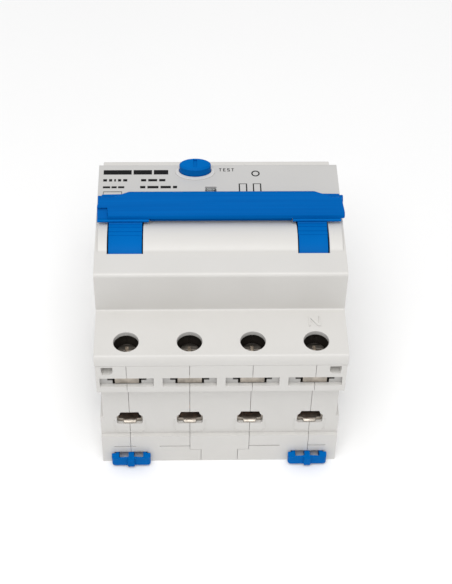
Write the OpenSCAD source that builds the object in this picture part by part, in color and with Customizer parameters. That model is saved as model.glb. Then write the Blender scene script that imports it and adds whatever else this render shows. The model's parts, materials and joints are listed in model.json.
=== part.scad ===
// Four-module residual current device with overcurrent protection, lying on its back.
// Frame: +Z out of the front, +Y towards the line end, +X right, in millimetres.
// Origin: middle of the back plane, on the centreline of the mounting rail.

/* [Housing] */
// Width over the front cover: four modules
cap_w = 70; // [69.5:0.5:71]
// Width over the stacked shells
shell_w = 69.5; // [69:0.1:69.5]
// Distance between neighbouring pole centres
pole_pitch = 17.5; // [17.5:0.05:17.6]
// Length of the body between its two end faces
body_l = 80; // [80:0.5:82]
// Height of the label face above the back plane
nose_h = 65.5; // [65:0.5:67]
// Length of the raised nose
nose_l = 45; // [45:0.5:46]
// Height of the shoulders either side of the nose
shoulder_h = 51.2; // [51:0.1:51.4]
// Wall thickness of the front cover
cap_t = 1.6; // [1.4:0.1:1.7]
// Height where the front cover meets the shells
cap_edge_h = 47.5; // [47.2:0.1:47.6]
// Gap left at each seam between two shells
seam_gap = 0.1; // [0.06:0.02:0.16]

/* [Rail] */
// Width of the mounting rail
rail_w = 35; // [35:0.1:35.2]
// Depth of the rail recess in the back
rail_depth = 5.5; // [5.3:0.1:5.8]
// Thickness of the rail's lips
rail_t = 1; // [1:0.1:1.2]

/* [Handle] */
// Distance of the handle axis from the rail centreline, towards the load end
handle_y = 8; // [8:0.1:8.2]
// Height of the handle axis
handle_z = 57.5; // [57.4:0.1:57.6]
// Radius of the cover's barrel round the handle axis
barrel_r = 10; // [9.9:0.05:10.05]
// Radius of the toggles' drums
drum_r = 9.2; // [9:0.05:9.25]
// Radius of the handle axle
axle_r = 1.5; // [1.4:0.05:1.5]

/* [Terminals] */
// Radius of the screwdriver holes
access_r = 3.5; // [3.4:0.05:3.5]
// Radius of the terminal screw's shank
screw_r = 1.9; // [1.8:0.05:1.9]
// Radius of the terminal screw's head
head_r = 3.1; // [3:0.05:3.1]
// Height of the conductor strips above the back plane
strip_z = 22.5; // [22.4:0.1:22.6]
// Thickness of the conductor strips
strip_t = 1.4; // [1.2:0.1:1.4]

/* [Test button] */
// Length of the oval button across the device
button_l = 9.2; // [9:0.1:9.4]
// Width of the oval button
button_w = 5.2; // [5:0.1:5.4]
// Travel of the button
button_travel = 1.8; // [1.5:0.1:1.8]

/* [Hidden] */
$fn = 48;
eps = 0.01;
poles = [-1.5, -0.5, 0.5, 1.5];
function pole_x(i) = poles[i] * pole_pitch;
shell_t = 1.5;
web_t = 1.3;
floor_z = rail_depth + 1.7;
end_y = body_l / 2;
nose_y = nose_l / 2;
shoulder_edge = end_y - 1.1;
band_h = 2.2;
shell_top = shoulder_h - cap_t - 0.1;
cap_in_y = end_y - cap_t;
// Profile of the terminal ends, from the back plane up
skirt_y = end_y - 2.5;
skirt_h = 12.2;
face_y = end_y - 3.7;
lip_z0 = 36.25;
lip_z1 = 38.6;
pocket_top = 42.3;
pocket_w = 15;
pocket_depth = 1.2;
// Inside of the shells
chamber_half = pole_pitch / 2 - web_t / 2;
chamber_y = 23.4;
chamber_wall_x = shell_w / 2 - shell_t;
cap_inner_x = chamber_wall_x - 0.05;
bay_top = 26.5;
bay_y = 5;
// Terminals
screw_y = 32.7;
access_y = 34.2;
head_z = 42.35;
head_h = 2.9;
screw_tip_z = strip_z + strip_t + 0.2;
run_fit = 0.05;
gap = 0.3;
cage_w = 8.6;
cage_l = 5;
cage_z = 16.6;
cage_h = 13.1;
cage_floor = 1.4;
cage_roof = 3;
cage_side = 1;
ramp_l = 1;
wire_z0 = 16.8;
wire_z1 = 22.2;
wire_half = 3.75;
wire_top_half = 2.6;
strip_half = 2.8;
// Contacts
shaft_y = -2;
shaft_z = 33;
shaft_r = 1.5;
hub_r = 2.8;
pad_z = 23.6;
pad_y = 7.5;
// Trip gear
trip_y = -1;
trip_z = 43.5;
trip_r = 1.2;
coil_z = 38;
coil_y0 = 7;
coil_y1 = 18;
coil_r = 5;
plunger_r = 1.6;
// Toroid
toroid_y = -14.2;
toroid_z0 = 11.8;
toroid_z1 = 18.2;
toroid_r0 = 5.6;
toroid_r1 = 8.6;
lead_r = 1.1;
// Handle
slots = [[-31.55, -21.55], [21.65, 30.45]];
slot_near = 14.2;
slot_far = 1;
bar_x0 = -34.5;
bar_x1 = 35.2;
// Test button and indicator
button_x = -6.8;
button_y = 19.35;
button_top = nose_h + 3;
shelf_z = 53.5;
window_x = -2.3;
window_y = 10.1;
window_w = 3.2;
window_l = 4.4;
// Rail clips
clip_half = 5.75;
clip_tongue_half = 4.6;
clip_z0 = 1.3;
clip_z1 = 4.3;
clip_outer = end_y - 0.3;
clip_nose = rail_w / 2 - 1.1;
rivets = [[-30, 9.2], [30, 9.2], [-26.2, 43], [26.2, 43], [-25.9, 31], [25.9, 31]];
rivet_r = 1.5;
rivet_head_r = 2.6;
rivet_head_t = 0.6;

light_grey = [0.87, 0.86, 0.84];
blue = [0.01, 0.39, 0.71];
nickel = [0.72, 0.7, 0.66];
copper = [0.72, 0.45, 0.3];
steel = [0.55, 0.56, 0.58];
fibre = [0.45, 0.3, 0.2];

// ---- Helpers ----

// Extrudes an outline drawn in (y, z) from x0 to x1
module along_x(x0, x1) {
    translate([x0, 0, 0]) rotate([90, 0, 90]) linear_extrude(x1 - x0) children();
}

// A box between two corners
module block(low, high) {
    translate(low) cube(high - low);
}

// A round bar along X between x0 and x1, at (y, z)
module rod_x(x0, x1, y, z, r) {
    translate([x0, y, z]) rotate([0, 90, 0]) cylinder(h = x1 - x0, r = r);
}

// A round bar along Y between y0 and y1, at (x, z)
module rod_y(y0, y1, x, z, r) {
    translate([x, y0, z]) rotate([-90, 0, 0]) cylinder(h = y1 - y0, r = r);
}

function unit(v) = v / norm(v);

// A path whose square corners are rounded to radius b
function round_corners(p, b) = [p[0],
    for (i = [1 : len(p) - 2])
        let (back = unit(p[i - 1] - p[i]), on = unit(p[i + 1] - p[i]))
            each [p[i] + b * back, p[i] + 0.29 * b * (back + on), p[i] + b * on],
    p[len(p) - 1]];

// Direction of a path at each of its points
function headings(p) = [for (i = [0 : len(p) - 1])
    unit((i < len(p) - 1 ? unit(p[i + 1] - p[i]) : [0, 0, 0]) + (i > 0 ? unit(p[i] - p[i - 1]) : [0, 0, 0]))];

// A side direction carried along the path without twisting
function carried(d, i, u) = i == len(d) ? [] :
    let (w = unit(u - (u * d[i]) * d[i])) concat([w], carried(d, i + 1, w));

// Joins rings of points into the closed skin of a tube
module tube_skin(points, rings, sides) {
    skin = [for (i = [0 : rings - 2]) for (j = [0 : sides - 1])
        let (a = i * sides + j, b = i * sides + (j + 1) % sides) [a, a + sides, b + sides, b]];
    first = [for (j = [0 : sides - 1]) j];
    last = [for (j = [sides - 1 : -1 : 0]) (rings - 1) * sides + j];
    polyhedron(points, concat(skin, [first, last]));
}

// A bent round wire along a path
module wire(path, r, bend) {
    sides = 8;
    p = round_corners(path, bend);
    d = headings(p);
    u = carried(d, 0, [0.6, 0.8, 0.01]);
    tube_skin([for (i = [0 : len(p) - 1]) for (j = [0 : sides - 1])
        let (a = 360 * j / sides, w = cross(d[i], u[i]))
        p[i] + r * (cos(a) * u[i] - sin(a) * w)], len(p), sides);
}

// An ellipse, long along X
module oval(l, w) {
    steps = 60;
    polygon([for (i = [0 : steps - 1]) let (a = 360 * i / steps) [l / 2 * cos(a), w / 2 * sin(a)]]);
}

// A coil spring along Z, swept along its helix
module spring(r, wire_r, z0, z1, turns) {
    per_turn = 12;
    sides = 6;
    rings = turns * per_turn;
    points = [for (i = [0 : rings]) for (j = [0 : sides - 1])
        let (a = 360 * i / per_turn, b = 360 * j / sides, q = r + wire_r * cos(b))
        [q * cos(a), q * sin(a), z0 + wire_r + (z1 - z0 - 2 * wire_r) * i / rings + wire_r * sin(b)]];
    tube_skin(points, rings + 1, sides);
}

// Both ends of the body: as drawn at the load end, and mirrored at the line end
module both_ends() {
    children();
    mirror([0, 1, 0]) children();
}

// ---- Front cover ----

function half_cap_outline() = [
    [-end_y, cap_edge_h],
    for (t = [0 : 15 : 90]) [-shoulder_edge - (end_y - shoulder_edge) * cos(t),
        shoulder_h - band_h + band_h * sin(t)],
    for (t = [0 : 15 : 90]) [-nose_y - 0.5 * (1 - sin(t)), shoulder_h + 0.5 * (1 - cos(t))],
    for (t = [0 : 15 : 90]) [-nose_y + 1 - cos(t), nose_h - 1 + sin(t)]
];
function mirrored(p) = [for (i = [len(p) - 1 : -1 : 0]) [-p[i][0], p[i][1]]];

module cap_outline() {
    near = half_cap_outline();
    polygon(concat(near, mirrored(near)));
}

module cap_hollow_outline() {
    in_nose = nose_y - cap_t;
    square_top = shoulder_h - cap_t;
    translate([-cap_in_y, cap_edge_h - 1]) square([2 * cap_in_y, square_top - cap_edge_h + 1]);
    translate([-in_nose, cap_edge_h]) square([2 * in_nose, nose_h - cap_t - cap_edge_h]);
}

// Letter N and its side lines, standing on the shoulder over the neutral terminal
module neutral_mark() {
    x0 = 24.6;
    x1 = 27.9;
    y0 = -29;
    y1 = -25.4;
    stroke = 0.5;
    translate([0, 0, shoulder_h - eps]) linear_extrude(0.4) {
        for (x = [x0, x1 - stroke]) translate([x, y0]) square([stroke, y1 - y0]);
        polygon([[x0, y1], [x0 + 0.8, y1], [x1, y0], [x1 - 0.8, y0]]);
    }
}

module front_cover() color(light_grey) {
    half = cap_w / 2;
    inner = half - cap_t;
    barrel_half = half - 0.8;
    difference() {
        union() {
            along_x(-half, half) cap_outline();
            rod_x(-barrel_half, barrel_half, -handle_y, handle_z, barrel_r);
            neutral_mark();
            // Raised ring round the test button
            translate([button_x, button_y - 0.5, nose_h - eps]) linear_extrude(0.35) oval(11.5, 7);
        }
        along_x(-inner, inner) cap_hollow_outline();
        rod_x(-inner, inner, -handle_y, handle_z, barrel_r - 1.4);
        rod_x(-half + 0.6, half - 0.6, -handle_y, handle_z, axle_r + run_fit);
        for (s = slots) {
            block([s[0], -slot_near, handle_z], [s[1], slot_far, nose_h + barrel_r]);
            rod_x(s[0], s[1], -handle_y, handle_z, barrel_r + 0.15);
        }
        both_ends() for (i = [0 : 3]) translate([pole_x(i), -access_y, shoulder_h - 4])
            cylinder(h = 6, r = access_r);
        translate([button_x, button_y, shelf_z]) linear_extrude(20)
            oval(button_l + gap, button_w + gap);
        translate([window_x, window_y, nose_h]) cube([window_w, window_l, 2 * cap_t + 2], center = true);
    }
    // Shelf under the test button
    block([-12, 9.2, shelf_z - 1.5], [-1.5, nose_y - cap_t + eps, shelf_z]);
}

// ---- Shells ----

function shell_outline() = [
    [-skirt_y, 0], [-skirt_y, skirt_h], [-face_y, skirt_h], [-face_y, lip_z0], [-end_y, lip_z0],
    [-end_y, cap_edge_h], [-cap_in_y + 0.1, cap_edge_h], [-cap_in_y + 0.1, shell_top]
];

module shell_section() {
    near = shell_outline();
    hook_y = rail_w / 2 - 1.2;
    undercut_y = rail_w / 2 + 0.4;
    clip_side_y = rail_w / 2 + 0.7;
    undercut_z = rail_depth - rail_t - 0.3;
    difference() {
        polygon(concat(near, mirrored(near)));
        translate([-clip_side_y, -1]) square([clip_side_y + hook_y, rail_depth + 1]);
        translate([0, undercut_z]) square([undercut_y, rail_depth - undercut_z]);
    }
}

// The space for one pole's works
module pole_chamber(x) {
    low = max(x - chamber_half, -chamber_wall_x);
    high = min(x + chamber_half, chamber_wall_x);
    block([low, -chamber_y, floor_z], [high, chamber_y, shell_top + 1]);
}

// Everything cut away round one terminal, drawn at the load end
module terminal_cuts(x) {
    half = cage_w / 2 + gap;
    cage_back = screw_y - cage_l / 2;
    top_step = wire_z1 - 1.9;
    block([x - half, -screw_y - cage_l / 2 - 0.05, cage_z - 0.9], [x + half, -chamber_y + 1, lip_z0 - 0.4]);
    translate([0, -cage_back, 0]) rotate([90, 0, 0]) linear_extrude(end_y - cage_back) polygon([
        [x - wire_half + 0.5, wire_z0], [x - wire_half, wire_z0 + 0.6], [x - wire_half, top_step],
        [x - wire_top_half - 0.35, top_step + 0.75], [x - wire_top_half, wire_z1],
        [x + wire_top_half, wire_z1], [x + wire_top_half + 0.35, top_step + 0.75],
        [x + wire_half, top_step], [x + wire_half, wire_z0 + 0.6], [x + wire_half - 0.5, wire_z0]]);
    translate([x, -screw_y, lip_z0 - 1]) cylinder(h = 4, r = screw_r + gap);
    translate([x, -screw_y, lip_z1 + 1]) cylinder(h = 12, r = head_r + gap);
    translate([x, -access_y, head_z + head_h - 1]) cylinder(h = 8, r = access_r);
    // Busbar pocket, and the slot behind it for the clamp plate
    block([x - pocket_w / 2, -end_y - 1, lip_z1], [x + pocket_w / 2, -end_y + pocket_depth, pocket_top]);
    block([x - 4, -end_y + 0.5, lip_z1], [x + 4, -screw_y + 3.4, pocket_top]);
    block([x - 5.45, -end_y + 1, pocket_top - 1.65], [x + 5.45, -end_y + 3.5, pocket_top]);
}

// The channel that one rail clip slides in
module clip_channel(x) {
    half = clip_tongue_half + gap;
    open_half = clip_tongue_half - 0.7;
    block([x - half, -end_y, clip_z0 - gap], [x + half, -rail_w / 2, clip_z1 + gap]);
    block([x - open_half, -end_y, -1], [x + open_half, -skirt_y + 6, clip_z0]);
}

// A half-round scoop in the strip under the cover, flat on top
module end_scoop(side) {
    mid_z = 45.4;
    r = 1.6;
    x = side * 31.6;
    depth = 2.4;
    translate([x, -end_y - 1, mid_z]) rotate([-90, 0, 0]) cylinder(h = 1 + depth, r = r);
    block([min(x, x + side * 1.4), -end_y - 1, mid_z - r], [max(x, x + side * 1.4), -end_y + depth, mid_z + r]);
    block([x - r, -end_y - 1, mid_z], [x + r, -end_y + depth, mid_z + r]);
}

module all_shells_solid() {
    half = shell_w / 2;
    relief = 0.85;
    difference() {
        along_x(-half, half) shell_section();
        for (i = [0 : 3]) {
            pole_chamber(pole_x(i));
            both_ends() terminal_cuts(pole_x(i));
        }
        // Bay for the toroid, across the walls between the poles
        block([-20, -chamber_y, floor_z], [20, -bay_y, bay_top]);
        for (i = [0, 3]) clip_channel(pole_x(i));
        for (side = [-1, 1]) {
            // Room for the cap's side wall
            block([side < 0 ? -half - 1 : cap_inner_x, -body_l, cap_edge_h - 0.05],
                [side < 0 ? -cap_inner_x : half + 1, body_l, nose_h]);
            both_ends() end_scoop(side);
            both_ends() translate([side * half, -face_y + 6, (20 + lip_z0) / 2])
                cube([2 * relief, 14, lip_z0 - 20], center = true);
        }
        // Narrow slits in the load-end skirt
        for (slit = [[-31.1, -24.8], [-17.6, -8.6], [8.9, 17.8], [26.4, 31.5]])
            block([slit[0], -end_y, 7.05], [slit[1], -skirt_y + 1.2, 7.4]);
        rod_x(-half + 0.5, half - 0.5, shaft_y, shaft_z, shaft_r + run_fit);
        rod_x(-half + 0.5, half - 0.5, trip_y, trip_z, trip_r + run_fit);
        for (p = rivets) {
            rod_x(-half - 1, half + 1, p[0], p[1], rivet_r);
            for (side = [-1, 1])
                rod_x(side * half - rivet_head_t, side * half + rivet_head_t, p[0], p[1], rivet_head_r);
        }
    }
}

// The step that a seam takes in the load-end skirt, on one side of the middle
module seam_jog(side, grow) {
    x0 = pole_pitch / 2 + 1;
    x1 = 5.5;
    block([min(side * x0, side * (x1 - grow)), -end_y, -1],
        [max(side * x0, side * (x1 - grow)), -skirt_y + 1.5 + grow, 5.4 + grow]);
}

// The part of the shells between two seams
module shell_between(x0, x1) {
    intersection() {
        all_shells_solid();
        block([x0 + seam_gap / 2, -body_l, -1], [x1 - seam_gap / 2, body_l, 2 * nose_h]);
    }
}

seam = pole_pitch / 2;
outer_seam = 3 * seam;
module left_end_shell() color(light_grey) shell_between(-shell_w, -outer_seam);
module right_end_shell() color(light_grey) shell_between(outer_seam, shell_w);

module inner_shell_side(side) color(light_grey) {
    shell_between(side < 0 ? -outer_seam : seam, side < 0 ? -seam : outer_seam);
    intersection() {
        all_shells_solid();
        seam_jog(side, 0);
    }
}
module inner_shell_left() inner_shell_side(-1);
module inner_shell_right() inner_shell_side(1);

module inner_shell_middle() color(light_grey) difference() {
    shell_between(-seam, seam);
    for (side = [-1, 1]) seam_jog(side, seam_gap);
}

module housing_rivets() color(nickel) {
    half = shell_w / 2;
    for (p = rivets) {
        rod_x(-half + 0.1, half - 0.1, p[0], p[1], rivet_r);
        for (side = [-1, 1])
            rod_x(side * (half - 0.35) - 0.25, side * (half - 0.35) + 0.25, p[0], p[1], rivet_head_r);
    }
}

// ---- Handle ----

bar_slope = 35.4;
// Near lower edge of the bar's sloping face, and the length of that face
bar_foot = [-3.54, 69.5];
bar_face = 6.33;

// Frame of the bar's sloping face: X along the bar, Y up the face, Z out of it
module on_bar_face() {
    translate([0, bar_foot[0], bar_foot[1]]) rotate([bar_slope, 0, 0]) children();
}

module handle_bar() color(blue) {
    far_edge = bar_face + 1;
    // Rib that closes the gap over the barrel
    along_x(slots[0][1] + 1.7, slots[1][0] - 1.2)
        polygon([[-2.9, 66.8], [-2.9, 68.3], [-1.7, 68.3], [-2, 66.5]]);
    difference() {
        along_x(bar_x0, bar_x1) polygon([
            [-3.7, 68.5], [-3.54, 69.5], [1.62, 73.17], [2.23, 73.27], [2.83, 72.87],
            [4.6, 69.4], [4, 68.6], [1.2, 68.6], [0.9, 68.2], [-2.9, 68.2]]);
        // The far edge is lower at both ends, with a slanted step between
        on_bar_face() translate([0, 0, -3]) linear_extrude(6) {
            polygon([[bar_x0 - 1, bar_face - 1], [-30.2, bar_face - 1],
                [-24.8, far_edge], [bar_x0 - 1, far_edge]]);
            polygon([[bar_x1 + 1, bar_face - 1], [31.6, bar_face - 1],
                [25.9, far_edge], [bar_x1 + 1, far_edge]]);
        }
        // Notch in the lower left corner of the face
        on_bar_face() block([bar_x0 - 1, -2, -0.9], [-31.6, bar_face * 0.38, 3]);
        // Ends taper slightly towards the far edge
        for (e = [[bar_x0, 1, 0.42], [bar_x1, -1, 0.15]])
            on_bar_face() translate([e[0], 0, -4]) linear_extrude(8)
                polygon([[-e[1], bar_face * e[2]], [0, bar_face * e[2]],
                    [e[1] * 1.3, far_edge], [-e[1], far_edge]]);
    }
}

// One toggle: drum on the axle, leg, and the foot plate that the bar sits on
module toggle(x0, x1, foot_x0, foot_x1) color(blue) difference() {
    union() {
        rod_x(x0, x1, -handle_y, handle_z, drum_r);
        along_x(x0, x1) polygon([[-handle_y, handle_z], [-8.4, 66.8], [-7.9, 66.85], [-7.1, 66.85], [-7.1, 67],
            [-5.5, 67], [-5.5, 67.15], [-4.4, 67.15], [-4.4, 67.3], [-3.2, 68.2], [0.8, 68.2], [-0.6, 64.3]]);
        along_x(foot_x0, foot_x1) polygon([[-4.3, 67.65], [-4.3, 68.25], [-4.05, 68.4], [-3.75, 68.4],
            [-2.9, 68.2], [0.8, 68.2], [0.3, 67.65]]);
    }
    rod_x(x0 - 1, x1 + 1, -handle_y, handle_z, axle_r);
}
module toggle_left() toggle(slots[0][0] + gap, slots[0][1] - gap, bar_x0, slots[0][1] + 1.6);
module toggle_right() toggle(slots[1][0] + gap, slots[1][1] - gap, slots[1][0] - 1.1, bar_x1 - 1);

module handle_axle() color(steel)
    rod_x(-cap_w / 2 + 0.8, cap_w / 2 - 0.8, -handle_y, handle_z, axle_r);

module handle_spring() color(steel)
    translate([0, -handle_y, handle_z]) rotate([0, 90, 0]) spring(2.5, 0.35, -6, 6, 8);

// ---- Test button and trip indicator ----

module test_button() color(blue) translate([button_x, button_y, 0]) {
    rim = 0.5;
    flange_z = nose_h - cap_t - gap - 1;
    difference() {
        union() {
            translate([0, 0, flange_z]) linear_extrude(button_top - rim - flange_z) oval(button_l, button_w);
            hull() {
                translate([0, 0, button_top - rim - eps]) linear_extrude(eps) oval(button_l, button_w);
                translate([0, 0, button_top - eps]) linear_extrude(eps)
                    oval(button_l - 2 * rim, button_w - 2 * rim);
            }
            // Lugs that hold it under the cover
            for (side = [-1, 1]) translate([side * button_l / 2, 0, flange_z + 0.5])
                cube([1.8, 2.4, 1], center = true);
            translate([0, 0, shelf_z + button_travel + 0.6]) cylinder(h = 8, r = 1.1);
        }
        translate([0, 0, button_top]) cube([1.1, button_w - 1.9, 0.9], center = true);
    }
}

module test_button_spring() color(steel)
    translate([button_x, button_y, 0]) spring(1.9, 0.25, shelf_z + 0.45, nose_h - cap_t - gap - 1.05, 7);

module test_contact() color(copper) {
    block([button_x - 2.6, button_y - 1, shelf_z], [button_x + 2.6, button_y + 1, shelf_z + 0.4]);
    block([button_x - 2.6, 13.6, shelf_z], [button_x - 1.4, button_y - 1, shelf_z + 0.4]);
}

module test_resistor() color([0.75, 0.65, 0.5]) {
    body_r = 1.2;
    y = 11.6;
    z = shelf_z + body_r + 0.1;
    rod_x(-9.2, -4.2, y, z, body_r);
    for (x = [-10.6, -2.8]) translate([x, y, shelf_z]) cylinder(h = body_r + 0.1, r = 0.3);
    rod_x(-10.9, -9.2, y, z, 0.3);
    rod_x(-4.2, -2.5, y, z, 0.3);
}

module indicator_lens() color([0.85, 0.9, 0.92, 0.5])
    translate([window_x, window_y, nose_h - cap_t / 2 - 0.15])
        cube([window_w - 0.04, window_l - 0.04, cap_t - 0.3], center = true);

module trip_flag() color([0.75, 0.15, 0.1]) {
    flag_z = nose_h - cap_t - 1.2;
    block([window_x - 2.4, 5, flag_z], [window_x + 2.4, 13.4, flag_z + 0.8]);
    block([window_x - 0.8, 5, flag_z - 8], [window_x + 0.8, 6.4, flag_z + eps]);
}

// ---- Rail clips ----

module din_clip(x) color(blue) {
    head_y = skirt_y + gap;
    slot_half = 3.5;
    post_half = 0.8;
    r = (clip_outer - head_y) / 2;
    half = clip_half;
    difference() {
        union() {
            // Head outside the skirt, with rounded outer corners
            translate([x, 0, 1]) linear_extrude(3.4) {
                translate([-half, -clip_outer + r]) square([2 * half, clip_outer - r - head_y]);
                translate([-half + r, -clip_outer]) square([2 * (half - r), r + eps]);
                for (side = [-1, 1]) translate([side * (half - r), -clip_outer + r]) circle(r = r);
                translate([-1.05, -clip_outer - 0.7]) square([2.1, 1]);
            }
            block([x - clip_tongue_half, -head_y - eps, clip_z0], [x + clip_tongue_half, -clip_nose, clip_z1]);
        }
        // Screwdriver slot, split by a post
        for (side = [-1, 1]) {
            edge = [x + side * post_half, x + side * slot_half];
            block([min(edge), -clip_outer + 0.6, -1], [max(edge), -skirt_y + 2.6, 6]);
        }
        // Ramp under the nose
        along_x(x - half, x + half) polygon([[-clip_nose + eps, clip_z0 - 1], [-clip_nose + eps, clip_z1 - 1],
            [-clip_nose - 2.6, clip_z0 - 1]]);
    }
}
module din_clip_left() din_clip(pole_x(0));
module din_clip_right() din_clip(pole_x(3));

// ---- Terminals, drawn at the load end ----

module terminal_screw(x) color(nickel) translate([x, -screw_y, 0]) difference() {
    union() {
        translate([0, 0, head_z]) cylinder(h = head_h - 0.4, r = head_r);
        translate([0, 0, head_z + head_h - 0.4 - eps]) cylinder(h = 0.4, r1 = head_r, r2 = head_r - 0.4);
        translate([0, 0, screw_tip_z + 0.8]) cylinder(h = head_z - screw_tip_z, r = screw_r);
        translate([0, 0, screw_tip_z]) cylinder(h = 0.8 + eps, r1 = screw_r - 0.8, r2 = screw_r);
    }
    translate([0, 0, head_z + head_h]) cube([2 * head_r + 1, 0.9, 2.6], center = true);
    translate([0, 0, head_z + head_h]) cube([0.9, 3.6, 3.2], center = true);
}

module cage(x) color(nickel) {
    low = [x - cage_w / 2, -screw_y - cage_l / 2, cage_z];
    high = [x + cage_w / 2, -screw_y + cage_l / 2, cage_z + cage_h];
    floor_top = cage_z + cage_floor;
    difference() {
        block(low, high);
        block([low[0] + cage_side, low[1] - 1, floor_top],
            [high[0] - cage_side, high[1] + 1, cage_z + cage_h - cage_roof]);
        translate([x, -screw_y, cage_z + 5]) cylinder(h = cage_h, r = screw_r + run_fit);
    }
    // Ramp that leads the wire in, narrower towards its outer edge
    intersection() {
        along_x(x - 2.1, x + 2.1) polygon([[low[1] + eps, cage_z + 0.3], [low[1] + eps, floor_top],
            [low[1], floor_top], [low[1] - ramp_l, cage_z + 0.7], [low[1] - ramp_l, cage_z + 0.3]]);
        linear_extrude(floor_top + 1) polygon([[x - 2.1, low[1] + 1], [x - 2.1, low[1]],
            [x - 1.65, low[1] - ramp_l], [x + 1.65, low[1] - ramp_l], [x + 2.1, low[1]],
            [x + 2.1, low[1] + 1]]);
    }
}

module clamp_plate(x) difference() {
    union() {
        block([x - 3.4, -end_y + 1.1, pocket_top - 1.5], [x + 3.4, -screw_y + 3, pocket_top - 0.1]);
        block([x - 3.4, -end_y + 1.1, lip_z1 + 0.25], [x + 3.4, -end_y + 2.1, pocket_top - 1.4]);
    }
    translate([x, -screw_y, lip_z1]) cylinder(h = 6, r = screw_r + gap);
}

module busbar_clamp_plates() color(nickel) both_ends() for (i = [0 : 3]) clamp_plate(pole_x(i));

module load_screw_1() terminal_screw(pole_x(0));
module load_screw_2() terminal_screw(pole_x(1));
module load_screw_3() terminal_screw(pole_x(2));
module load_screw_n() terminal_screw(pole_x(3));
module line_screw_1() mirror([0, 1, 0]) terminal_screw(pole_x(0));
module line_screw_2() mirror([0, 1, 0]) terminal_screw(pole_x(1));
module line_screw_3() mirror([0, 1, 0]) terminal_screw(pole_x(2));
module line_screw_n() mirror([0, 1, 0]) terminal_screw(pole_x(3));
module load_cage_1() cage(pole_x(0));
module load_cage_2() cage(pole_x(1));
module load_cage_3() cage(pole_x(2));
module load_cage_n() cage(pole_x(3));
module line_cage_1() mirror([0, 1, 0]) cage(pole_x(0));
module line_cage_2() mirror([0, 1, 0]) cage(pole_x(1));
module line_cage_3() mirror([0, 1, 0]) cage(pole_x(2));
module line_cage_n() mirror([0, 1, 0]) cage(pole_x(3));

// ---- Current path ----

strip_end = screw_y + 2.4;
strip_top = strip_z + strip_t;

module line_conductors() color(copper) for (i = [0 : 3]) {
    x = pole_x(i);
    // Strip from the line terminal, rising to the coil
    block([x - strip_half, 20, strip_z], [x + strip_half, strip_end, strip_top]);
    block([x - strip_half, 20, strip_top - eps], [x + strip_half, 20 + strip_t, coil_z - 2]);
    // Bracket that carries the fixed contact
    block([x - 3, pad_y - 2, pad_z - 2.6], [x + 3, 19, pad_z - 1.2]);
    block([x - 3, 17.6, pad_z - 1.2 - eps], [x + 3, 19, coil_z - coil_r - 0.6]);
    translate([x, pad_y, pad_z - 1.2 - eps]) cylinder(h = 1.2 + eps, r = 1.8);
}

module load_conductors() color(copper) for (i = [0 : 3]) {
    x = pole_x(i);
    block([x - strip_half, -strip_end, strip_z], [x + strip_half, -20.6, strip_top]);
    // Foot of the bimetal, or of the plain bracket in the neutral pole
    block([x - 2.5, -12, bay_top + 0.4], [x + 2.5, -8.7, bay_top + 1.6]);
    block([x - 2.5, -12, bay_top - 0.9], [x + 2.5, -10.8, bay_top + 0.4 + eps]);
}

module moving_contact(i) color(copper) {
    x = pole_x(i);
    difference() {
        union() {
            rod_x(x - 2.5, x + 2.5, shaft_y, shaft_z, hub_r);
            along_x(x - 1.6, x + 1.6)
                polygon([[-3.6, 31.2], [-0.4, 35.1], [9.2, 26.6], [9.2, 24.7], [6, 24.7]]);
            translate([x, pad_y, pad_z + 0.15]) cylinder(h = 1.2, r = 1.5);
        }
        rod_x(x - 3, x + 3, shaft_y, shaft_z, shaft_r);
    }
}
module moving_contact_1() moving_contact(0);
module moving_contact_2() moving_contact(1);
module moving_contact_3() moving_contact(2);
module moving_contact_n() moving_contact(3);

module contact_shaft() color([0.2, 0.2, 0.22])
    rod_x(-shell_w / 2 + 0.7, shell_w / 2 - 0.7, shaft_y, shaft_z, shaft_r);

// Stack of splitter plates between two cheeks, in each pole
module arc_chutes() for (i = [0 : 3]) translate([pole_x(i), 0, 0]) {
    plates = 7;
    pitch = 1.6;
    z0 = floor_z + 0.6;
    color(steel) for (k = [0 : plates - 1]) translate([0, 0, z0 + k * pitch]) linear_extrude(0.8)
        polygon([[-5.6, 9], [-1.6, 9], [0, 13], [1.6, 9], [5.6, 9], [5.6, 21], [-5.6, 21]]);
    color(fibre) for (side = [-1, 1])
        translate([side * 6, 15, z0 + plates * pitch / 2 - 0.4]) cube([0.8, 12.4, plates * pitch], center = true);
}

// ---- Overcurrent trips ----

// Turns of heavy wire on a thin sleeve, in poles 1 to 3
module trip_coils() color(copper) for (i = [0 : 2]) translate([pole_x(i), 0, coil_z]) rotate([-90, 0, 0]) {
    turns = 6;
    wire_r = (coil_y1 - coil_y0 - 1) / (2 * turns);
    mid_r = coil_r - wire_r;
    difference() {
        union() {
            translate([0, 0, coil_y0 + 0.5]) cylinder(h = 2 * turns * wire_r, r = mid_r);
            for (k = [0 : turns - 1]) translate([0, 0, coil_y0 + 0.5 + wire_r * (2 * k + 1)])
                rotate_extrude() translate([mid_r, 0]) circle(r = wire_r);
        }
        translate([0, 0, coil_y0 - 1]) cylinder(h = 14, r = 2.4);
    }
}

module coil_yokes() color(steel) for (i = [0 : 2]) difference() {
    x = pole_x(i);
    top_z = coil_z + coil_r + 0.4;
    union() {
        block([x - 4.5, coil_y0 - 1, coil_z - 4], [x + 4.5, coil_y0, top_z + 1]);
        block([x - 4.5, coil_y1, coil_z - 1.8], [x + 4.5, coil_y1 + 1, top_z + 1]);
        block([x - 4.5, coil_y0 - eps, top_z], [x + 4.5, coil_y1 + eps, top_z + 1]);
    }
    rod_y(coil_y0 - 2, coil_y0 + 2, x, coil_z, plunger_r + run_fit);
}

module coil_plunger(i) color(steel) {
    rod_y(0.4, coil_y1 - 1, pole_x(i), coil_z, plunger_r);
}
module coil_plunger_1() coil_plunger(0);
module coil_plunger_2() coil_plunger(1);
module coil_plunger_3() coil_plunger(2);

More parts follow.
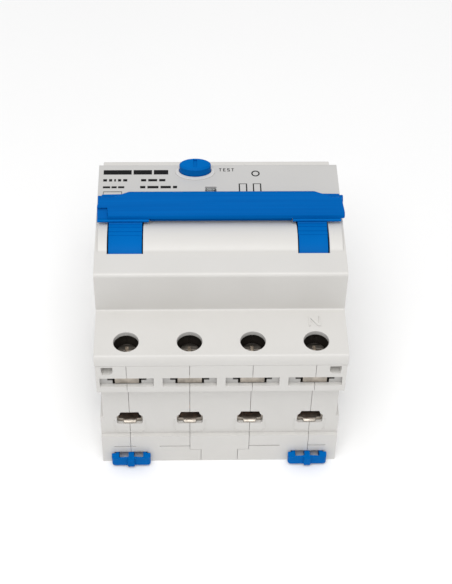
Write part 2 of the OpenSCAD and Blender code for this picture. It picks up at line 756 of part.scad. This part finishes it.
// Bar across all poles, with a paddle for each plunger and a finger for each bimetal
module trip_bar() color([0.85, 0.8, 0.6]) {
    rod_x(-shell_w / 2 + 0.8, shell_w / 2 - 0.8, trip_y, trip_z, trip_r);
    for (i = [0 : 3]) {
        x = pole_x(i);
        block([x - 2, trip_y - 0.7, coil_z - 1.2], [x + 2, trip_y + 0.5, trip_z]);
        block([x - 1.5, trip_y - 6.4, trip_z + 0.2], [x + 1.5, trip_y, trip_z + 1.6]);
        block([x - 1.5, trip_y - 6.4, trip_z + 0.2], [x + 1.5, trip_y - 5.4, trip_z + 2.6]);
    }
}

module bimetals() color([0.75, 0.7, 0.6]) for (i = [0 : 2])
    block([pole_x(i) - 2.2, -9.5, bay_top + 1.6], [pole_x(i) + 2.2, -8.7, trip_z + 2.6]);

module contact_braids() color(copper) for (i = [0 : 3]) {
    x = pole_x(i);
    wire([[x, -8.7, 29.5], [x, -7, 29.5], [x, -7, 32.6], [x, -5.1, 32.6]], 0.55, 0.8);
}

// ---- Residual current sensing ----

module toroid_core() color([0.2, 0.3, 0.25]) translate([0, toroid_y, toroid_z0]) difference() {
    cylinder(h = toroid_z1 - toroid_z0, r = toroid_r1);
    translate([0, 0, -1]) cylinder(h = 10, r = toroid_r0);
}

// Turns of fine wire round the core, as a ring of flat frames
module toroid_winding() color(copper) translate([0, toroid_y, 0]) {
    turns = 24;
    t = 0.45;
    space = 0.05;
    for (k = [0 : turns - 1]) rotate(360 * k / turns) difference() {
        block([toroid_r0 - space - t, -0.4, toroid_z0 - space - t], [toroid_r1 + space + t, 0.4, toroid_z1 + space + t]);
        block([toroid_r0 - space - 0.05, -1, toroid_z0 - space], [toroid_r1 + space, 1, toroid_z1 + space]);
    }
}

// Each pole's insulated lead: from its load strip, under and up through the toroid, to its bracket
module primary_leads() color([0.15, 0.25, 0.5]) for (i = [0 : 3]) {
    x = pole_x(i);
    outer = abs(poles[i]) > 1;
    through_x = sign(x) * 1.7;
    through_y = toroid_y + (outer ? 1.7 : -1.7);
    low_z = floor_z + 1.4;
    high_z = outer ? toroid_z1 + 2.6 : toroid_z1 + 5.6;
    wire([[x, -21.8, strip_z], [x, -21.8, low_z], [through_x, through_y, low_z],
        [through_x, through_y, high_z], [x, -11.4, high_z], [x, -11.4, bay_top - 0.9]], lead_r, 1.7);
}

// Permanent-magnet relay that trips the mechanism, in the neutral pole
module trip_relay() {
    x = pole_x(3);
    color([0.15, 0.15, 0.16]) difference() {
        block([x - 5.5, 7.5, coil_z - 5], [x + 5.5, 19, coil_z + 5.5]);
        rod_y(6, 12, x, coil_z, 1.2);
    }
    color(steel) rod_y(2.2, 12, x, coil_z, 1);
}

module circuit_board() {
    x = 32.1;
    t = 1.1;
    color([0.1, 0.35, 0.2]) block([x - t, -20.5, 9.5], [x, -6.5, 25.5]);
    color([0.7, 0.5, 0.2]) block([x - t - 2, -19, 12], [x - t, -16, 16]);
    color([0.2, 0.2, 0.2]) block([x - t - 1.2, -13, 17], [x - t, -9, 22]);
    color([0.15, 0.2, 0.4]) translate([x - t - 2, -11, 12.5]) rotate([0, 90, 0]) cylinder(h = 2, r = 1.8);
}

front_cover();
left_end_shell();
inner_shell_left();
inner_shell_middle();
inner_shell_right();
right_end_shell();
housing_rivets();
handle_bar();
toggle_left();
toggle_right();
handle_axle();
handle_spring();
test_button();
test_button_spring();
test_contact();
test_resistor();
indicator_lens();
trip_flag();
din_clip_left();
din_clip_right();
load_screw_1();
load_screw_2();
load_screw_3();
load_screw_n();
line_screw_1();
line_screw_2();
line_screw_3();
line_screw_n();
load_cage_1();
load_cage_2();
load_cage_3();
load_cage_n();
line_cage_1();
line_cage_2();
line_cage_3();
line_cage_n();
busbar_clamp_plates();
line_conductors();
load_conductors();
moving_contact_1();
moving_contact_2();
moving_contact_3();
moving_contact_n();
contact_shaft();
arc_chutes();
trip_coils();
coil_yokes();
coil_plunger_1();
coil_plunger_2();
coil_plunger_3();
trip_bar();
bimetals();
contact_braids();
toroid_core();
toroid_winding();
primary_leads();
trip_relay();
circuit_board();
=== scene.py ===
"""Looks of a four-module residual current device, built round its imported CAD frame."""

import json
import math

import bmesh
import bpy
from mathutils import Matrix, Vector


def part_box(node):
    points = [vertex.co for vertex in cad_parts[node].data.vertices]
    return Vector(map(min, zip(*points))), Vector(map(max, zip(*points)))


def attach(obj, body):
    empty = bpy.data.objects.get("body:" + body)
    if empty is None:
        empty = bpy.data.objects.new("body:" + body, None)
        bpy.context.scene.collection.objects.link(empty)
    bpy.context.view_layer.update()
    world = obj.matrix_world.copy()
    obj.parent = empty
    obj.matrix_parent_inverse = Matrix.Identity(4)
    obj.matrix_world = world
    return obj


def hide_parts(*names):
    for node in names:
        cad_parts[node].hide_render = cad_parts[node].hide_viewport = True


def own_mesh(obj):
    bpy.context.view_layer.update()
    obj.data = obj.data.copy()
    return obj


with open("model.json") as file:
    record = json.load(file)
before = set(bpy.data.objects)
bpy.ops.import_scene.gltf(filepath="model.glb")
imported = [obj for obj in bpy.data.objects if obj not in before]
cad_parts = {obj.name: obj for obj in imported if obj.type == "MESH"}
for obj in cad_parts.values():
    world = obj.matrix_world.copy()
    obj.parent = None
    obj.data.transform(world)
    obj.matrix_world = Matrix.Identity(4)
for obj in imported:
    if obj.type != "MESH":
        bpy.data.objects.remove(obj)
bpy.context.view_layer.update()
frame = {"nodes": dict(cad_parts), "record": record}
MM = 0.001

# ---- Places on the device, in millimetres ----

cover_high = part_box("front_cover")[1]
BARREL_RISE = 2.0
LABEL_Z = cover_high[2] / MM - BARREL_RISE
FACE_INSET = 3.7
FACE_Y = cover_high[1] / MM - FACE_INSET
POLES = [-1.5, -0.5, 0.5, 1.5]
PITCH = 17.5
WELL_Y = 34.2
WELL_Z = 46.0
WELL_RADIUS = 5.3
POCKET_Z = 40.45
SLIT_Z = 7.225
INK_RISE = 0.02


# ---- Camera, light and floor ----

def make_camera():
    """A long lens in front of and above the load end, rolled slightly."""
    azimuth, elevation, roll = (math.radians(a) for a in (-2.333, 47.447, 1.41))
    target = Vector((2.401, 1.101, 32.75)) * MM
    distance = 421.0 * MM
    back = Vector((math.sin(azimuth) * math.cos(elevation), -math.cos(azimuth) * math.cos(elevation),
                   math.sin(elevation)))
    right = Vector((math.cos(azimuth), math.sin(azimuth), 0))
    up = back.cross(right)
    image_right = right * math.cos(roll) + up * math.sin(roll)
    image_up = up * math.cos(roll) - right * math.sin(roll)
    data = bpy.data.cameras.new("camera")
    data.lens = 85.81
    data.clip_start = 0.01
    camera = bpy.data.objects.new("camera", data)
    bpy.context.scene.collection.objects.link(camera)
    turn = Matrix((image_right, image_up, back)).transposed().to_4x4()
    camera.matrix_world = Matrix.Translation(target + back * distance) @ turn
    bpy.context.scene.camera = camera


def area_light(name, place, aim, size, power):
    data = bpy.data.lights.new(name, "AREA")
    data.shape = "SQUARE"
    data.size = size
    data.energy = power
    light = bpy.data.objects.new(name, data)
    light.location = place
    light.rotation_euler = (Vector(aim) - Vector(place)).to_track_quat("-Z", "Y").to_euler()
    bpy.context.scene.collection.objects.link(light)


def make_studio():
    scene = bpy.context.scene
    scene.view_settings.view_transform = "Standard"
    world = bpy.data.worlds.new("studio")
    scene.world = world
    world.use_nodes = True
    background = world.node_tree.nodes["Background"]
    background.inputs["Color"].default_value = (1, 1, 1, 1)
    background.inputs["Strength"].default_value = 0.56
    area_light("key", (-0.05, -0.38, 0.85), (0, -0.02, 0.03), 0.6, 4.9)
    area_light("top", (0.1, 0.1, 1.0), (0, 0, 0.03), 0.8, 0.8)
    reach = 3.0
    corners = [(-reach, -reach, 0), (reach, -reach, 0), (reach, reach, 0), (-reach, reach, 0)]
    mesh = bpy.data.meshes.new("floor")
    mesh.from_pydata(corners, [], [(0, 1, 2, 3)])
    floor = bpy.data.objects.new("floor", mesh)
    scene.collection.objects.link(floor)
    mesh.materials.append(floor_material())


# ---- Materials ----

class Finish:
    """Builds one procedural material."""

    def __init__(self, name):
        self.material = bpy.data.materials.new(name)
        self.material.use_nodes = True
        self.tree = self.material.node_tree
        self.shader = self.tree.nodes["Principled BSDF"]
        self.place = self.node("ShaderNodeTexCoord").outputs["Object"]

    def node(self, kind, **values):
        made = self.tree.nodes.new(kind)
        for key, value in values.items():
            setattr(made, key, value)
        return made

    def link(self, a, b):
        self.tree.links.new(a, b)

    def set(self, **values):
        for key, value in values.items():
            self.shader.inputs[key.replace("_", " ")].default_value = value

    def noise(self, per_metre, detail=3.0, rough=0.5, stretch=None):
        """Noise with that many features to the metre; stretch scales it along each axis."""
        texture = self.node("ShaderNodeTexNoise")
        texture.inputs["Scale"].default_value = per_metre
        texture.inputs["Detail"].default_value = detail
        texture.inputs["Roughness"].default_value = rough
        source = self.place
        if stretch:
            mapping = self.node("ShaderNodeMapping")
            mapping.inputs["Scale"].default_value = stretch
            self.link(source, mapping.inputs["Vector"])
            source = mapping.outputs["Vector"]
        self.link(source, texture.inputs["Vector"])
        return texture.outputs["Fac"]

    def spread(self, value, low, high):
        """Maps a 0 to 1 value to low to high."""
        ramp = self.node("ShaderNodeMapRange")
        ramp.inputs["From Min"].default_value = 0.3
        ramp.inputs["From Max"].default_value = 0.7
        ramp.inputs["To Min"].default_value = low
        ramp.inputs["To Max"].default_value = high
        self.link(value, ramp.inputs["Value"])
        return ramp.outputs["Result"]

    def between(self, value, first, second):
        """A colour between two, chosen by a 0 to 1 value."""
        mix = self.node("ShaderNodeMix", data_type="RGBA")
        mix.inputs["A"].default_value = (*first, 1)
        mix.inputs["B"].default_value = (*second, 1)
        self.link(value, mix.inputs["Factor"])
        return mix.outputs["Result"]

    def choose(self, mask, first, second):
        """One of two colour sources, by a mask."""
        mix = self.node("ShaderNodeMix", data_type="RGBA")
        self.link(mask, mix.inputs["Factor"])
        self.link(first, mix.inputs["A"])
        self.link(second, mix.inputs["B"])
        return mix.outputs["Result"]

    def math(self, operation, first, second=None):
        """A number worked out from a source and a second source or a plain number."""
        made = self.node("ShaderNodeMath", operation=operation)
        self.link(first, made.inputs[0])
        if isinstance(second, (int, float)):
            made.inputs[1].default_value = second
        elif second is not None:
            self.link(second, made.inputs[1])
        return made.outputs[0]

    def region(self, *limits):
        """A mask of where every source lies within a half width of a middle, in millimetres."""
        mask = None
        for source, middle, half in limits:
            away = self.math("ABSOLUTE", self.math("SUBTRACT", source, middle * MM))
            inside = self.math("LESS_THAN", away, half * MM)
            mask = inside if mask is None else self.math("MULTIPLY", mask, inside)
        return mask

    def bump(self, height, depth, strength=1.0, below=None):
        made = self.node("ShaderNodeBump")
        made.inputs["Strength"].default_value = strength
        made.inputs["Distance"].default_value = depth
        self.link(height, made.inputs["Height"])
        if below is not None:
            self.link(below, made.inputs["Normal"])
        self.link(made.outputs["Normal"], self.shader.inputs["Normal"])
        return made.outputs["Normal"]


def housing_material():
    """Pale moulded plastic, greyer on the label field, with painted shade in its busbar pockets, slots,
    slits and screw wells.
    """
    f = Finish("housing_plastic")
    axes = f.node("ShaderNodeSeparateXYZ")
    f.link(f.place, axes.inputs[0])
    x, y, z = axes.outputs
    out_y = f.math("ABSOLUTE", y)
    share = f.math("SUBTRACT", f.math("FRACT", f.math("DIVIDE", x, PITCH * MM)), 0.5)
    across = f.math("MULTIPLY", share, PITCH * MM)
    along = f.math("SUBTRACT", out_y, WELL_Y * MM)
    from_well = f.math("SQRT", f.math("ADD", f.math("POWER", across, 2.0), f.math("POWER", along, 2.0)))

    label = f.region((z, LABEL_Z, 0.12), (y, 12.4, 9.9))
    # Painted shade: the busbar pockets get a darker colour that stands for the shade down in them
    pocket = f.region((z, POCKET_Z, 1.8), (out_y, 39.1, 0.75), (across, 0, 7.55))
    # Painted shade: the busbar slots, a thin strip at each slot's rim and the low slits are painted near
    # black, standing for the shadow deep inside them
    plate_slot = f.region((z, POCKET_Z, 1.95), (out_y, 37.4, 1.35), (across, 0, 5.5))
    slot_rim = f.region((z, POCKET_Z + 0.05, 0.4), (out_y, 38.8, 0.12), (across, 0, 5.45))
    slit = f.region((z, SLIT_Z, 0.17), (out_y, 36.9, 0.57), (x, 0, 33))
    painted_slot_shade = f.math("MAXIMUM", f.math("MAXIMUM", plate_slot, slot_rim), slit)
    # Painted shade: the screw wells are painted near black and given little reflection, standing for the
    # shadow down in them
    round_well = f.math("LESS_THAN", from_well, WELL_RADIUS * MM)
    well = f.math("MULTIPLY", round_well, f.region((z, WELL_Z, 3.5)))

    flow = f.spread(f.noise(60, 2.0, 0.5), 0, 1)
    plain = f.between(flow, (0.642, 0.628, 0.603), (0.658, 0.644, 0.621))
    greyer = f.between(flow, (0.545, 0.537, 0.524), (0.56, 0.552, 0.539))
    # shaded is the painted shade colour of the busbar pockets
    shaded = f.between(flow, (0.50, 0.49, 0.475), (0.52, 0.51, 0.495))
    # dark is the near black painted shade of the slots, slits and screw wells
    dark = f.between(flow, (0.030, 0.026, 0.022), (0.040, 0.035, 0.030))
    colour = f.choose(label, plain, greyer)
    colour = f.choose(pocket, colour, shaded)
    colour = f.choose(painted_slot_shade, colour, dark)
    f.link(f.choose(well, colour, dark), f.shader.inputs["Base Color"])

    f.link(f.spread(f.noise(700, 3.0), 0.37, 0.47), f.shader.inputs["Roughness"])
    shine = f.node("ShaderNodeMapRange")
    shine.inputs["To Min"].default_value = 0.5
    shine.inputs["To Max"].default_value = 0.06
    f.link(well, shine.inputs["Value"])
    f.link(shine.outputs["Result"], f.shader.inputs["Specular IOR Level"])
    grain = f.bump(f.noise(9000, 2.0, 0.6), 0.004 * MM, 0.6)
    f.bump(f.noise(250, 1.0), 0.02 * MM, 0.25, grain)
    f.set(IOR=1.5)
    return f.material


def moulded(name, colour, roughness, variation=0.03, grain=9000, depth=0.004 * MM, sheen=0.5):
    """Injection-moulded plastic: fine spark-eroded grain, faint flow marks, slightly uneven gloss."""
    f = Finish(name)
    flow = f.noise(60, 2.0, 0.5)
    dark = [c * (1 - variation) for c in colour]
    light = [min(1.0, c * (1 + variation)) for c in colour]
    f.link(f.between(f.spread(flow, 0, 1), dark, light), f.shader.inputs["Base Color"])
    f.link(f.spread(f.noise(700, 3.0), roughness - 0.05, roughness + 0.05), f.shader.inputs["Roughness"])
    grain_bump = f.bump(f.noise(grain, 2.0, 0.6), depth, 0.6)
    f.bump(f.noise(250, 1.0), 0.02 * MM, 0.25, grain_bump)
    f.set(IOR=1.5, Specular_IOR_Level=sheen)
    return f.material


def metal(name, colour, roughness, variation=0.1, stretch=(1, 1, 1), grain=3000, depth=0.004 * MM):
    """Metal with drawing or rolling marks along one way, and slightly tarnished patches."""
    f = Finish(name)
    patches = f.spread(f.noise(450, 4.0, 0.6), 0, 1)
    dark = [c * (1 - variation) for c in colour]
    f.link(f.between(patches, dark, colour), f.shader.inputs["Base Color"])
    marks = f.noise(1200, 4.0, 0.6, stretch)
    f.link(f.spread(marks, roughness - 0.1, roughness + 0.12), f.shader.inputs["Roughness"])
    f.bump(f.noise(grain, 3.0, 0.6, stretch), depth, 0.5)
    f.set(Metallic=1.0)
    return f.material


def floor_material():
    f = Finish("floor_paper")
    f.link(f.between(f.spread(f.noise(6, 2.0), 0, 1), (0.96, 0.96, 0.96), (0.98, 0.98, 0.98)),
           f.shader.inputs["Base Color"])
    f.set(Roughness=0.9, Specular_IOR_Level=0.1)
    return f.material


def bar_material():
    """The handle bar's blue, with fine marks along its length."""
    f = Finish("blue_bar")
    marks = f.noise(1400, 2.0, 0.6, (0.015, 1, 1))
    f.link(f.between(f.spread(marks, 0, 1), (0.0, 0.098, 0.372), (0.0, 0.114, 0.415)),
           f.shader.inputs["Base Color"])
    f.link(f.spread(f.noise(700, 3.0), 0.33, 0.43), f.shader.inputs["Roughness"])
    f.bump(marks, 0.012 * MM, 0.7)
    f.set(IOR=1.5, Specular_IOR_Level=0.01)
    return f.material


def clear_lens_material():
    f = Finish("clear_lens")
    f.link(f.between(f.spread(f.noise(200, 2.0), 0, 1), (0.92, 0.94, 0.95), (0.97, 0.98, 0.98)),
           f.shader.inputs["Base Color"])
    f.link(f.spread(f.noise(500, 2.0), 0.04, 0.12), f.shader.inputs["Roughness"])
    f.set(Transmission_Weight=1.0, IOR=1.46)
    return f.material


def board_material():
    """Green varnished laminate with faint copper tracks under the varnish."""
    f = Finish("circuit_laminate")
    tracks = f.noise(380, 0.0, 0.5, (1, 0.15, 1))
    step = f.math("GREATER_THAN", tracks, 0.56)
    f.link(f.between(step, (0.02, 0.12, 0.05), (0.05, 0.22, 0.08)), f.shader.inputs["Base Color"])
    f.link(f.spread(f.noise(900, 2.0), 0.25, 0.4), f.shader.inputs["Roughness"])
    f.bump(step, 0.02 * MM, 0.4)
    f.set(Coat_Weight=0.4)
    return f.material


MATERIALS = {
    "housing_plastic": housing_material(),
    "blue_plastic": moulded("blue_plastic", (0.0, 0.125, 0.440), 0.38, 0.05, 7000, 0.003 * MM, 0.02),
    "nickel_plate": metal("nickel_plate", (0.54, 0.49, 0.43), 0.42, 0.4, (0.25, 1, 1), 2200, 0.02 * MM),
    "steel": metal("steel", (0.47, 0.47, 0.48), 0.38, 0.15, (1, 0.2, 1)),
    "spring_steel": metal("spring_steel", (0.4, 0.4, 0.42), 0.3, 0.1),
    "copper": metal("copper", (0.78, 0.38, 0.22), 0.32, 0.2, (1, 0.2, 1)),
    "bimetal": metal("bimetal", (0.6, 0.52, 0.4), 0.4, 0.15, (1, 1, 0.2)),
    "black_plastic": moulded("black_plastic", (0.022, 0.022, 0.024), 0.45, 0.15),
    "cream_plastic": moulded("cream_plastic", (0.62, 0.55, 0.36), 0.45, 0.04),
    "flag_finish": moulded("flag_finish", (0.33, 0.33, 0.32), 0.4, 0.05),
    "core_coating": moulded("core_coating", (0.03, 0.10, 0.07), 0.5, 0.15, 3000, 0.01 * MM),
    "lead_insulation": moulded("lead_insulation", (0.03, 0.06, 0.25), 0.4, 0.08, 4000),
    "resistor_ceramic": moulded("resistor_ceramic", (0.45, 0.33, 0.18), 0.35, 0.1),
    "print_ink": moulded("print_ink", (0.008, 0.008, 0.009), 0.6, 0.2, 9000, 0.004 * MM, 0.15),
    "blue_bar": bar_material(),
    "clear_lens": clear_lens_material(),
    "board": board_material(),
}


# ---- Pieces ----

BODIES = frame["record"]["behaviour"]["bodies"]
BODY_OF = {node: body for body, nodes in BODIES.items() for node in nodes}
SLOT_OF = {part["node"]: part["material_slot"] for part in frame["record"]["subparts"]}
OWN_MATERIAL = {"handle_bar": "blue_bar"}

# Radius of the rounded outward edges of each node that is rounded, in millimetres
EDGE_RADII = {
    "front_cover": 0.22, "handle_bar": 0.25, "toggle_left": 0.2, "toggle_right": 0.2,
    "left_end_shell": 0.05, "inner_shell_left": 0.07, "inner_shell_middle": 0.09,
    "inner_shell_right": 0.07, "right_end_shell": 0.05, "test_button": 0.45,
    "din_clip_left": 0.25, "din_clip_right": 0.25, "busbar_clamp_plates": 0.12,
}
for end in ("load", "line"):
    for pole in "123n":
        EDGE_RADII[f"{end}_cage_{pole}"] = 0.12
        EDGE_RADII[f"{end}_screw_{pole}"] = 0.1

# Room that an edge needs round it before it is rounded, as multiples of the radius
FACE_ROOM = 1.3
NEAR_ROOM = 1.6
FOLD_ROOM = 2.5
EDGE_ROOM = 2.4
SIDE_ROOM = 1.4


def add_piece(name, bm, body, slot, material=None):
    """Makes a piece that rides on a body; its finish is its slot's, or a material of its own."""
    shade(bm)
    mesh = bpy.data.meshes.new(name)
    bm.to_mesh(mesh)
    bm.free()
    piece = bpy.data.objects.new(name, mesh)
    bpy.context.scene.collection.objects.link(piece)
    mesh.materials.clear()
    mesh.materials.append(MATERIALS[material or slot])
    piece.modifiers.new("even", "WEIGHTED_NORMAL").keep_sharp = True
    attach(piece, body)
    return piece


def shade(bm, sharp_angle=math.radians(38)):
    """Smooth faces, with edges steeper than the angle kept sharp."""
    for face in bm.faces:
        face.smooth = True
    for edge in bm.edges:
        edge.smooth = len(edge.link_faces) == 2 and edge.calc_face_angle(math.pi) < sharp_angle


def clean_copy(node):
    """The CAD node's own shape as one closed mesh of flat faces."""
    bm = bmesh.new()
    bm.from_mesh(frame["nodes"][node].data)
    bmesh.ops.remove_doubles(bm, verts=bm.verts, dist=0.0005 * MM)
    bmesh.ops.dissolve_limit(bm, angle_limit=math.radians(0.4), verts=bm.verts, edges=bm.edges)
    return bm


def along(point, edge):
    """How far along an edge a point lies (0 to 1), and its distance from the edge's line."""
    start, end = (v.co for v in edge.verts)
    line = end - start
    t = (point - start).dot(line) / line.length_squared
    return t, (point - start - line * t).length


def narrowest(edge):
    """About how wide the narrower of an edge's faces is."""
    return min(f.calc_area() / max(e.calc_length() for e in f.edges) for f in edge.link_faces)


def edges_with_room(bm, radius, least_angle, crowded):
    """The outward edges that can be rounded without the rounding running into something near."""
    chosen = {e for e in bm.edges
              if len(e.link_faces) == 2 and e.is_convex and e.calc_face_angle(0) > least_angle
              and narrowest(e) > FACE_ROOM * radius}
    for e in list(chosen):
        for v in {v for f in e.link_faces for v in f.verts} - set(e.verts):
            t, gap = along(v.co, e)
            if 0.01 < t < 0.99 and gap < NEAR_ROOM * radius:
                chosen.discard(e)
                chosen -= set(v.link_edges)
        if any((v.co - c).length < FOLD_ROOM * radius for v in e.verts for c in crowded):
            chosen.discard(e)
    settled = False
    while not settled:
        settled = True
        for e in list(chosen):
            for v in e.verts:
                others = [o for o in v.link_edges if o is not e]
                marked = [o for o in others if o in chosen]
                plain = [o for o in others if o not in chosen and o.calc_face_angle(0) > 0.02]
                cramped = any(o.calc_length() < SIDE_ROOM * radius for o in plain)
                if cramped or (len(marked) > 1 and e.calc_length() < EDGE_ROOM * radius):
                    chosen.discard(e)
                    settled = False
                    break
    return sorted(chosen, key=lambda x: x.index)


def folded_corners(bm, least_area=1e-10, least_facing=0.6):
    """Corners of the triangles that don't face the way their face does; slivers don't count."""
    bm.normal_update()
    corners = []
    for loops in bm.calc_loop_triangles():
        a, b, c = (l.vert.co for l in loops)
        across = (b - a).cross(c - a)
        facing = across.normalized().dot(loops[0].face.normal)
        if across.length > 2 * least_area and facing < least_facing:
            corners += [a.copy(), b.copy(), c.copy()]
    return corners


def round_edges(node, radius, segments, least_angle=math.radians(40)):
    """The node's shape with its outward edges rounded, as a mould leaves them."""
    crowded = []
    for attempt in range(6):
        bm = clean_copy(node)
        bm.edges.index_update()
        bmesh.ops.bevel(bm, geom=edges_with_room(bm, radius, least_angle, crowded), offset=radius,
                        offset_type="OFFSET", segments=segments, profile=0.5, affect="EDGES",
                        clamp_overlap=False)
        corners = folded_corners(bm)
        if not corners:
            break
        crowded += corners
    return bm


def polish(node):
    """Replaces a CAD node by the same shape with its outward edges rounded."""
    rounded = round_edges(node, EDGE_RADII[node] * MM, segments=2)
    piece = add_piece(node + "_finish", rounded, BODY_OF[node], SLOT_OF[node], OWN_MATERIAL.get(node))
    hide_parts(node)


def carry_over(node):
    """Keeps a CAD node and gives it its finished material."""
    piece = frame["nodes"][node]
    piece.data.materials.clear()
    piece.data.materials.append(MATERIALS[SLOT_OF[node]])


def make_button_spring():
    """The test button's return spring, copied as a piece of its own; nothing here makes it shorten as the
    button goes down.
    """
    node = "test_button_spring"
    piece = add_piece(node + "_finish", clean_copy(node), BODY_OF[node], SLOT_OF[node])
    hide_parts(node)
    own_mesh(piece)


def add_box(bm, low, high):
    """Adds a box between two corners, in millimetres."""
    for v in bmesh.ops.create_cube(bm, size=1.0)["verts"]:
        v.co = Vector([(low[i] + (v.co[i] + 0.5) * (high[i] - low[i])) * MM for i in range(3)])


def add_outline(bm, path, width, low, high, to_place):
    """Adds a ribbon of rectangular section along a flat path; to_place turns (a, b, height) into a point."""
    rows = []
    for i, point in enumerate(path):
        before, after = Vector(path[max(i - 1, 0)]), Vector(path[min(i + 1, len(path) - 1)])
        way = (after - before).normalized()
        side = Vector((-way.y, way.x)) * width / 2
        here = Vector(point)
        rows.append([bm.verts.new(to_place(p.x, p.y, h)) for p, h in
                     ((here - side, low), (here + side, low), (here + side, high), (here - side, high))])
    for a, b in zip(rows, rows[1:]):
        for i in range(4):
            j = (i + 1) % 4
            bm.faces.new((a[i], a[j], b[j], b[i]))
    bm.faces.new(rows[0][::-1])
    bm.faces.new(rows[-1])


def arc(cx, cy, r, first, last, steps=6):
    return [(cx + r * math.cos(math.radians(a)), cy + r * math.sin(math.radians(a)))
            for a in (first + (last - first) * i / steps for i in range(steps + 1))]


def on_end_face(end):
    """Turns x, z and a height into a point on a terminal face; end is -1 (load) or 1 (line)."""
    def to_place(x, z, h):
        return Vector((x, end * (FACE_Y + h), z)) * MM
    return to_place


def make_terminal_outlines():
    """The fine raised line round the foot of each wire entry, at both ends."""
    half, foot, top, r = 4.5, 13.1, 18.6, 1.5
    bm = bmesh.new()
    for end in (-1, 1):
        for pole in POLES:
            x = pole * PITCH
            path = ([(x - half, top)] + arc(x - half + r, foot + r, r, 180, 270)
                    + arc(x + half - r, foot + r, r, 270, 360) + [(x + half, top)])
            add_outline(bm, path, 0.22, -0.05, 0.13, on_end_face(end))
    bmesh.ops.recalc_face_normals(bm, faces=bm.faces)
    add_piece("terminal_outlines", bm, "housing", "housing_plastic")


# Blocks that stand for lines of print: x, y, height, widths of the blocks, space between them
PRINT_ROWS = [
    (-33.6, 17.9, 1.9, (8.2, 5.4, 4.2), 0.55),
    (-33.6, 14.95, 1.0, (1.1, 0.9, 0.5, 0.9, 1.2), 0.6),
    (-22.6, 14.95, 1.0, (1.5, 2.6, 1.8), 0.6),
    (-33.6, 12.1, 0.8, (2.1, 1.5, 1.8), 0.4),
    (-22.8, 12.0, 1.0, (1.5, 3.2, 3.0, 1.2), 0.6),
]

# Printed frames: x, y, width, height, line width
PRINT_FRAMES = [(-33.4, 7.5, 5.3, 3.1, 0.25), (6.0, 10.4, 2.1, 3.4, 0.4), (10.1, 10.4, 2.1, 3.4, 0.4)]

# Letters of the word TEST as strokes on a grid 3 wide and 5 high: low corner, high corner
STROKES = {
    "T": [((0, 4.2), (3, 5)), ((1.1, 0), (1.9, 4.2))],
    "E": [((0, 0), (0.8, 5)), ((0.8, 4.2), (2.9, 5)), ((0.8, 2.1), (2.6, 2.9)), ((0.8, 0), (2.9, 0.8))],
    "S": [((0, 4.2), (2.9, 5)), ((0, 2.9), (0.8, 4.2)), ((0, 2.1), (2.9, 2.9)), ((2.1, 0.8), (2.9, 2.1)),
          ((0, 0), (2.9, 0.8))],
}
LETTER_SCALE = (0.25, 0.26)
LETTER_STEP = 1.22
WORD_PLACE = (0.2, 19.15)


def on_label(x, y, z):
    return Vector((x, y, z)) * MM


def make_label_print():
    """Printed marks on the label: blocks for lines of print, frames, a ring, and the word TEST."""
    base, top = LABEL_Z - INK_RISE, LABEL_Z + INK_RISE
    bm = bmesh.new()
    for x, y, height, widths, space in PRINT_ROWS:
        for width in widths:
            add_box(bm, (x, y, base), (x + width, y + height, top))
            x += width + space
    for i, letter in enumerate("TEST"):
        place = (WORD_PLACE[0] + i * LETTER_STEP, WORD_PLACE[1])
        for stroke in STROKES[letter]:
            low, high = ([place[k] + end[k] * LETTER_SCALE[k] for k in range(2)] for end in stroke)
            add_box(bm, (*low, base), (*high, top))
    for x, y, width, height, line in PRINT_FRAMES:
        middle = x + width / 2
        path = [(middle, y), (x, y), (x, y + height), (x + width, y + height), (x + width, y), (middle, y)]
        add_outline(bm, path, line, base, top, on_label)
    add_outline(bm, arc(10.9, 18.2, 1.05, 0, 360, 24), 0.4, base, top, on_label)
    # Dark line along the far edge of the indicator window
    add_outline(bm, [(-3.95, 12.45), (-0.7, 12.45)], 0.18, base, top, on_label)
    bmesh.ops.recalc_face_normals(bm, faces=bm.faces)
    add_piece("label_print", bm, "housing", "black_plastic", "print_ink")


make_camera()
make_studio()
for node in frame["nodes"]:
    if node in EDGE_RADII:
        polish(node)
    elif node != "test_button_spring":
        carry_over(node)
make_terminal_outlines()
make_label_print()
make_button_spring()
